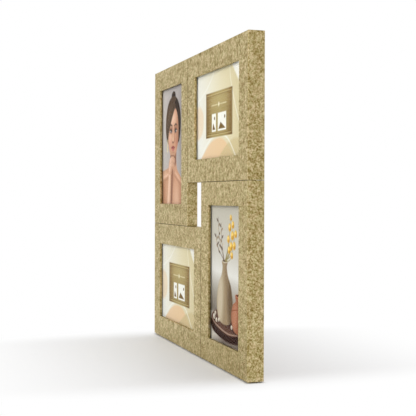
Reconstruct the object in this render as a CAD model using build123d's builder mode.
"""Collage photo frame: four small picture frames set like a pinwheel round a square gap.

The frame stands on its lower edge. X runs to the right, Y runs from the front to the back and Z
runs up. The origin is the middle of the footprint. Each small frame has four mitred rails with a
rebate for a pane, a print, a filler card and a backing board, which two turn buttons hold in.
All four frames are the same, and each is the one before it turned clockwise by a quarter turn.
"""
import os

from build123d import *

# The photographs that the frame holds, and how they sit behind the moulding
photo_width = 100.0
photo_height = 150.0
photo_cover = 4.0
photo_clearance = 1.0
pane_clearance = 0.5

# The moulding, seen in section
face_width = 25.0
lip_thickness = 2.7
rail_depth = 12.0
edge_radius = 0.5
skirt_width = 5.0
skirt_depth = 5.0
seam_gap = 0.2

# The sheets behind the lip, front to back
pane_thickness = 1.8
print_thickness = 0.3
board_thickness = 3.0
notch_radius = 9.0
notch_offset = 3.0

# V-shaped nails that hold the mitres
corner_nail_inset = 8.0
corner_nail_leg = 7.0
corner_nail_thickness = 0.5
corner_nail_length = 8.0

# Turn buttons and their pivot screws
button_radius = 4.5
button_tip_radius = 3.0
button_reach = 12.0
button_thickness = 1.0
button_play = 0.2
pivot_inset = 6.0
rib_width = 1.6
rib_height = 0.4

# Wood screws
screw_radius = 1.5
screw_length = 8.0
screw_tip_length = 2.5
screw_clearance = 0.08
pan_head_radius = 3.0
pan_head_height = 1.6
sunk_head_radius = 2.8
slot_width = 0.7
slot_depth = 0.7
hole_clearance = 0.05

# Plates that join neighbouring small frames
plate_length = 34.0
plate_width = 12.0
plate_thickness = 1.6
plate_corner_radius = 3.0
inner_screw_offset = 5.5
outer_screw_offset = 12.5

# Sawtooth hangers and their nails
hanger_length = 45.0
hanger_height = 8.0
hanger_thickness = 0.9
hanger_rise = 2.0
hanger_tab = 8.0
hanger_slope = 2.0
hanger_inset = 52.0
tooth_pitch = 2.2
tooth_depth = 1.6
tooth_count = 9
nail_radius = 0.8
nail_head_radius = 1.9
nail_head_height = 0.6
nail_length = 7.0

# One overrun serves every cut that passes through a piece
overrun = 1.0

# Sizes that follow
rebate_width = photo_cover + photo_clearance
rebate_wall = face_width - rebate_width
short_side = photo_width - 2 * photo_cover + 2 * face_width
long_side = photo_height - 2 * photo_cover + 2 * face_width
collage_size = short_side + long_side + seam_gap
overall_depth = rail_depth + skirt_depth
pocket_width = photo_width + 2 * photo_clearance
pocket_height = photo_height + 2 * photo_clearance
pane_width = pocket_width - 2 * pane_clearance
pane_height = pocket_height - 2 * pane_clearance
print_depth = lip_thickness + pane_thickness
filler_depth = print_depth + print_thickness
filler_thickness = rail_depth - board_thickness - filler_depth
pivot_line = rebate_wall - pivot_inset
strip_middle = (skirt_width + rebate_wall) / 2

# The first small frame's edges, from the collage's centre
frame_left = -collage_size / 2
frame_right = frame_left + short_side
frame_top = collage_size / 2
frame_bottom = frame_top - long_side

BACK = Vector(0, 1, 0)
FRONT = Vector(0, -1, 0)
FRAME_NAMES = ("top_left", "top_right", "bottom_right", "bottom_left")
SIDE_NAMES = ("left", "top", "right", "bottom")
OUTER_LONG, OUTER_SHORT, INNER_LONG, INNER_SHORT = range(4)


def turned(across, up, turns):
    """Turn a place on the collage's face clockwise about its centre, by quarter turns."""
    for _ in range(turns % 4):
        across, up = up, -across
    return across, up


def in_space(across, up, depth):
    """Give the point that is across and up from the collage's centre, and depth behind its front."""
    return Vector(across, depth - overall_depth / 2, collage_size / 2 + up)


def direction(across, up, turns):
    """Give a direction on the collage's face, after its quarter turns."""
    across, up = turned(across, up, turns)
    return Vector(across, 0, up)


def corner_point(frame, side, depth):
    """Give the outer corner where a side of a small frame starts, going clockwise."""
    corners = (
        (frame_left, frame_bottom),
        (frame_left, frame_top),
        (frame_right, frame_top),
        (frame_right, frame_bottom),
    )
    return in_space(*turned(*corners[side % 4], frame), depth)


def side_length(side):
    return long_side if side in (OUTER_LONG, INNER_LONG) else short_side


def side_plane(frame, side, depth):
    """Plane with X along a side, Y inward from the frame's outer edge and Z to the back."""
    along = direction(0, 1, frame + side)
    return Plane(origin=corner_point(frame, side, depth), x_dir=along, z_dir=BACK)


def window_plane(frame, depth):
    """Plane in the middle of a small frame, facing the front, with Y along its long side."""
    middle = turned((frame_left + frame_right) / 2, (frame_bottom + frame_top) / 2, frame)
    return Plane(origin=in_space(*middle, depth), x_dir=direction(1, 0, frame), z_dir=FRONT)


def section_plane(point):
    """Plane through a fastener's axis, with X to the right and Y to the back."""
    return Plane(origin=point, x_dir=(1, 0, 0), z_dir=(0, 0, 1))


def shifted(plane, place):
    """Give the same plane with its origin moved to a place in its own coordinates."""
    return Plane(origin=plane.from_local_coords(place), x_dir=plane.x_dir, z_dir=plane.z_dir)


def side_name(frame, side):
    return SIDE_NAMES[(frame + side) % 4]


def save(piece, label):
    """Label a finished piece and write its file."""
    piece.label = label
    export_step(piece, f"parts/{label}.step")
    print(f"{label}: {len(piece.solids())} solids, {piece.volume:.1f} mm3")


def corner_nail_points():
    """Outline of the V-shaped nail from behind: one leg in each of the two rails that meet."""
    near = corner_nail_inset
    inner = corner_nail_inset + corner_nail_thickness
    far = corner_nail_inset + corner_nail_leg
    return (near, near), (far, near), (far, inner), (inner, inner), (inner, far), (near, far)


def skirt_points(side):
    """Outline of the skirt from behind: mitred at the collage's corner and square at the seam."""
    length = side_length(side)
    near_end = skirt_width if side == OUTER_SHORT else 0
    far_end = length - skirt_width if side == OUTER_LONG else length
    return (0, 0), (length, 0), (far_end, skirt_width), (near_end, skirt_width)


def hanger_centre(side):
    """Distance from the start of an outer side to its hanger, measured from the collage's corner."""
    return side_length(side) - hanger_inset if side == OUTER_LONG else hanger_inset


def hanger_nail_offset():
    return (hanger_length - hanger_tab) / 2


def carries_hanger(frame, side):
    return side in (OUTER_LONG, OUTER_SHORT) and side_name(frame, side) == "top"


def pilot_holes(frame, side):
    """List the holes in the back of a rail: place along it, place across it, radius and depth."""
    holes = []
    if side in (OUTER_LONG, INNER_LONG):
        holes.append((long_side / 2, pivot_line, screw_radius, screw_length))
    if side in (INNER_LONG, INNER_SHORT):
        for offset in (inner_screw_offset, outer_screw_offset):
            holes.append((short_side / 2, offset - seam_gap / 2, screw_radius, screw_length))
    if carries_hanger(frame, side):
        for way in (-1, 1):
            place = hanger_centre(side) + way * hanger_nail_offset()
            holes.append((place, strip_middle, nail_radius, nail_length))
    return holes


def make_rail(frame, side):
    """Extrude the rebated moulding, cut its mitres, and add the skirt on an outer side."""
    length = side_length(side)
    along = direction(0, 1, frame + side)
    inward = direction(1, 0, frame + side)
    start = corner_point(frame, side, 0)
    end = corner_point(frame, side + 1, 0)
    with BuildPart() as rail:
        with BuildSketch(Plane(origin=start, x_dir=inward, z_dir=along)):
            with BuildLine():
                Polyline(
                    (0, 0),
                    (face_width, 0),
                    (face_width, lip_thickness),
                    (rebate_wall, lip_thickness),
                    (rebate_wall, rail_depth),
                    (0, rail_depth),
                    close=True,
                )
            make_face()
            fillet(vertices().group_by(Axis.Y)[0], radius=edge_radius)
        extrude(amount=length)
        split(bisect_by=Plane(origin=start, z_dir=along - inward), keep=Keep.TOP)
        split(bisect_by=Plane(origin=end, z_dir=-along - inward), keep=Keep.TOP)
        if side in (OUTER_LONG, OUTER_SHORT):
            with BuildSketch(side_plane(frame, side, rail_depth)):
                with BuildLine():
                    Polyline(*skirt_points(side), close=True)
                make_face()
            extrude(amount=skirt_depth)
        for corner in (side, (side + 1) % 4):
            with BuildSketch(side_plane(frame, corner, rail_depth)):
                with BuildLine():
                    Polyline(*corner_nail_points(), close=True)
                make_face()
            extrude(amount=-corner_nail_length, mode=Mode.SUBTRACT)
        for place, across, radius, depth in pilot_holes(frame, side):
            with BuildSketch(side_plane(frame, side, rail_depth)):
                with Locations((place, across)):
                    Circle(radius + hole_clearance)
            extrude(amount=-(depth + hole_clearance), mode=Mode.SUBTRACT)
    save(rail.part, f"{FRAME_NAMES[frame]}_rail_{side_name(frame, side)}")


def make_sheet(frame, name, width, height, depth, thickness):
    """Cut one of the plain sheets that lie in the rebate."""
    with BuildPart() as sheet:
        with BuildSketch(window_plane(frame, depth)):
            Rectangle(width, height)
        extrude(amount=-thickness)
    save(sheet.part, f"{FRAME_NAMES[frame]}_{name}")


def make_backing_board(frame):
    """Cut the hardboard back, with a finger notch in its outer short edge to lift it out."""
    with BuildPart() as board:
        with BuildSketch(window_plane(frame, rail_depth - board_thickness)):
            Rectangle(pane_width, pane_height)
            with Locations((0, pane_height / 2 + notch_offset)):
                Circle(notch_radius, mode=Mode.SUBTRACT)
        extrude(amount=-board_thickness)
    save(board.part, f"{FRAME_NAMES[frame]}_backing_board")


def make_turn_button(frame, side):
    """Stamp the drop-shaped button that points over the board, with a rib to push it by."""
    pivot = side_plane(frame, side, rail_depth + button_play).from_local_coords((long_side / 2, pivot_line, 0))
    plane = Plane(origin=pivot, x_dir=direction(1, 0, frame + side), z_dir=BACK)
    tip_centre = button_reach - button_tip_radius
    rib_length = tip_centre - button_radius / 2
    with BuildPart() as button:
        with BuildSketch(plane):
            Circle(button_radius)
            with Locations((tip_centre, 0)):
                Circle(button_tip_radius)
            make_hull()
            Circle(screw_radius + screw_clearance, mode=Mode.SUBTRACT)
        extrude(amount=button_thickness)
        with BuildSketch(plane.offset(button_thickness)):
            with Locations((tip_centre, 0)):
                SlotOverall(rib_length / 2, rib_width, rotation=90)
        extrude(amount=rib_height)
    save(button.part, f"{FRAME_NAMES[frame]}_turn_button_{side_name(frame, side)}")


def pan_screw():
    """Turn one pan-head screw that stands on its point, with Z zero at the rail's back."""
    under_head = button_thickness + 2 * button_play
    top = under_head + pan_head_height
    shoulder = under_head + pan_head_height / 3
    with BuildPart() as screw:
        with BuildSketch(Plane.XZ):
            with BuildLine():
                Polyline(
                    (0, top),
                    (0, -screw_length),
                    (screw_radius, screw_tip_length - screw_length),
                    (screw_radius, under_head),
                    (pan_head_radius, under_head),
                    (pan_head_radius, shoulder),
                )
                RadiusArc((pan_head_radius, shoulder), (0, top), -2 * pan_head_radius)
            make_face()
        revolve(axis=Axis.Z)
        with BuildSketch(Plane.XY.offset(top)):
            Rectangle(2 * pan_head_radius, slot_width)
        extrude(amount=-slot_depth, mode=Mode.SUBTRACT)
    return screw.part


def sunk_head_height():
    """Depth of the countersink: its sides slope at 45 degrees."""
    return sunk_head_radius - screw_radius


def sunk_screw():
    """Turn one countersunk screw that stands on its point, with Z zero at the rail's back."""
    with BuildPart() as screw:
        with BuildSketch(Plane.XZ):
            with BuildLine():
                Polyline(
                    (0, -screw_length),
                    (screw_radius, screw_tip_length - screw_length),
                    (screw_radius, plate_thickness - sunk_head_height()),
                    (sunk_head_radius, plate_thickness),
                    (0, plate_thickness),
                    close=True,
                )
            make_face()
        revolve(axis=Axis.Z)
        with BuildSketch(Plane.XY.offset(plate_thickness)):
            Rectangle(2 * sunk_head_radius, slot_width)
        extrude(amount=-slot_depth, mode=Mode.SUBTRACT)
    return screw.part


def hanger_nail():
    """Turn one round-headed nail that stands on its point, with Z zero at the rail's back."""
    with BuildPart() as nail:
        with BuildSketch(Plane.XZ):
            with BuildLine():
                Polyline(
                    (0, -nail_length),
                    (nail_radius, nail_radius - nail_length),
                    (nail_radius, hanger_thickness),
                    (nail_head_radius, hanger_thickness),
                    (nail_head_radius, hanger_thickness + nail_head_height),
                    (0, hanger_thickness + nail_head_height),
                    close=True,
                )
            make_face()
        revolve(axis=Axis.Z)
    return nail.part


def save_group(piece, planes, label):
    """Set one fastener on each plane, with Z to the back, and write them as one group."""
    with BuildPart() as group:
        with Locations(*planes):
            add(piece)
    save(group.part, label)


def pivot_planes():
    """Planes on the backs of the long rails, at the turn buttons' pivots."""
    planes = []
    for frame in range(4):
        for side in (OUTER_LONG, INNER_LONG):
            planes.append(shifted(side_plane(frame, side, rail_depth), (long_side / 2, pivot_line, 0)))
    return planes


def seam_plane(frame, depth):
    """Plane at the middle of the seam after a small frame: X crosses the seam and Z is the back."""
    across, up = turned(frame_right + seam_gap / 2, frame_top - short_side / 2, frame)
    return Plane(origin=in_space(across, up, depth), x_dir=direction(1, 0, frame), z_dir=BACK)


def joining_screw_offsets():
    return (-outer_screw_offset, -inner_screw_offset, inner_screw_offset, outer_screw_offset)


def make_joining_plate(frame):
    """Flat steel plate across the seam to the next small frame, with four countersunk holes."""
    with BuildPart() as plate:
        with BuildSketch(seam_plane(frame, rail_depth)):
            RectangleRounded(plate_length, plate_width, plate_corner_radius)
        extrude(amount=plate_thickness)
        for offset in joining_screw_offsets():
            point = seam_plane(frame, rail_depth).from_local_coords((offset, 0, 0))
            rim = screw_radius + screw_clearance
            flare = sunk_head_radius + screw_clearance
            with BuildSketch(section_plane(point)):
                with BuildLine():
                    Polyline(
                        (0, 0),
                        (rim, 0),
                        (rim, plate_thickness - sunk_head_height()),
                        (flare, plate_thickness),
                        (0, plate_thickness),
                        close=True,
                    )
                make_face()
            revolve(axis=Axis(point, BACK), mode=Mode.SUBTRACT)
    save(plate.part, f"joining_plate_{SIDE_NAMES[(frame + 1) % 4]}")


def joining_screw_planes():
    """Planes on the backs of the rails, at the screws of the joining plates."""
    planes = []
    for frame in range(4):
        for offset in joining_screw_offsets():
            planes.append(shifted(seam_plane(frame, rail_depth), (offset, 0, 0)))
    return planes


def make_corner_nails():
    """V-shaped nails, driven flush into the back of every mitre."""
    with BuildPart() as nails:
        for frame in range(4):
            for side in range(4):
                with BuildSketch(side_plane(frame, side, rail_depth)):
                    with BuildLine():
                        Polyline(*corner_nail_points(), close=True)
                    make_face()
                extrude(amount=-corner_nail_length)
    save(nails.part, "corner_nails")


def hanger_planes():
    """Planes in the middle of each hanger: X to the right seen from the front, Z to the back."""
    planes = {}
    for frame in range(4):
        for side in (OUTER_LONG, OUTER_SHORT):
            if carries_hanger(frame, side):
                place = (hanger_centre(side), strip_middle, 0)
                point = side_plane(frame, side, rail_depth).from_local_coords(place)
                name = "hanger_left" if point.X < 0 else "hanger_right"
                planes[name] = Plane(origin=point, x_dir=(1, 0, 0), z_dir=BACK)
    return planes


def make_hanger(name, plane):
    """Bend a steel strip into a low bridge and cut the teeth along the bridge's lower edge."""
    half_length = hanger_length / 2
    foot = half_length - hanger_tab
    shoulder = foot - hanger_slope
    upper = hanger_rise + hanger_thickness
    section = Plane(origin=plane.origin, x_dir=(1, 0, 0), z_dir=(0, 0, 1)).offset(-hanger_height / 2)
    with BuildPart() as hanger:
        with BuildSketch(section):
            with BuildLine():
                Polyline(
                    (-half_length, 0),
                    (-foot, 0),
                    (-shoulder, hanger_rise),
                    (shoulder, hanger_rise),
                    (foot, 0),
                    (half_length, 0),
                    (half_length, hanger_thickness),
                    (foot, hanger_thickness),
                    (shoulder, upper),
                    (-shoulder, upper),
                    (-foot, hanger_thickness),
                    (-half_length, hanger_thickness),
                    close=True,
                )
            make_face()
        extrude(amount=hanger_height)
        with BuildSketch(plane):
            with Locations((0, hanger_height / 2)):
                with GridLocations(tooth_pitch, 0, tooth_count, 1):
                    Polygon((-tooth_pitch / 2, 0), (0, -tooth_depth), (tooth_pitch / 2, 0), align=None)
        extrude(amount=upper + overrun, mode=Mode.SUBTRACT)
        with BuildSketch(plane):
            with GridLocations(2 * hanger_nail_offset(), 0, 2, 1):
                Circle(nail_radius + hole_clearance)
        extrude(amount=hanger_thickness, mode=Mode.SUBTRACT)
    save(hanger.part, name)


def hanger_nail_planes():
    """Planes on the backs of the top rails, at the nails of the hangers."""
    planes = []
    for hanger_plane in hanger_planes().values():
        for way in (-1, 1):
            planes.append(shifted(hanger_plane, (way * hanger_nail_offset(), 0, 0)))
    return planes


os.makedirs("parts", exist_ok=True)

for frame in range(4):
    for side in range(4):
        make_rail(frame, side)
    make_sheet(frame, "pane", pane_width, pane_height, lip_thickness, pane_thickness)
    make_sheet(frame, "print", photo_width, photo_height, print_depth, print_thickness)
    make_sheet(frame, "filler_card", pane_width, pane_height, filler_depth, filler_thickness)
    make_backing_board(frame)
    make_turn_button(frame, OUTER_LONG)
    make_turn_button(frame, INNER_LONG)
    make_joining_plate(frame)
make_corner_nails()
for name, plane in hanger_planes().items():
    make_hanger(name, plane)
save_group(pan_screw(), pivot_planes(), "turn_button_screws")
save_group(sunk_screw(), joining_screw_planes(), "joining_screws")
save_group(hanger_nail(), hanger_nail_planes(), "hanger_nails")

print(f"Overall: {collage_size:.1f} wide, {overall_depth:.1f} deep, {collage_size:.1f} high")
print(f"Centre gap: {long_side - short_side + seam_gap:.1f} square")
